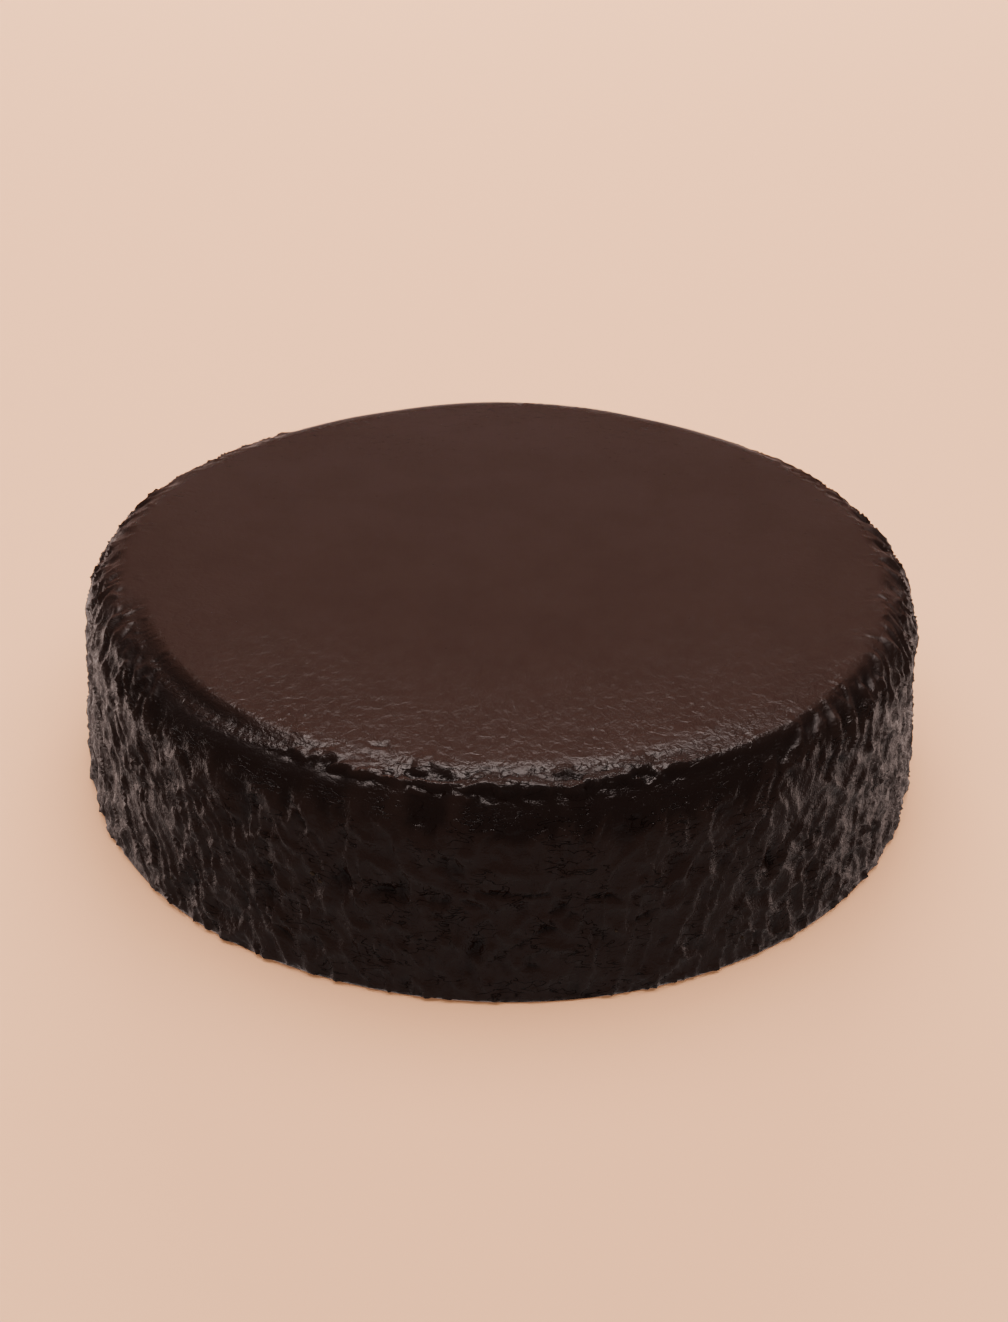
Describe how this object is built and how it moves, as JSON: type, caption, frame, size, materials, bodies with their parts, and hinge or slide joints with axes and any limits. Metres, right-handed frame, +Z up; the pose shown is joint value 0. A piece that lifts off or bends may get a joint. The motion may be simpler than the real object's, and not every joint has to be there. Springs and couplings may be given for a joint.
{
  "type": "sachertorte cake",
  "caption": "Whole round chocolate cake under a dark poured glaze, with a satin top, a rounded rim with a broken lip, and a rough, craggy side",
  "frame": {"origin": "middle of the cake's foot, on the surface that it stands on", "axes": "+Z up along the cake's axis; -Y is the front, whose rim has the broken lip"},
  "size_m": [0.2528, 0.2536, 0.0622],
  "materials": {
    "chocolate_glaze": "dark chocolate glaze, satin on top and a little glossier on the craggy side"
  },
  "bodies": {
    "root": {"glazed_cake": "chocolate_glaze"}
  },
  "joints": []
}
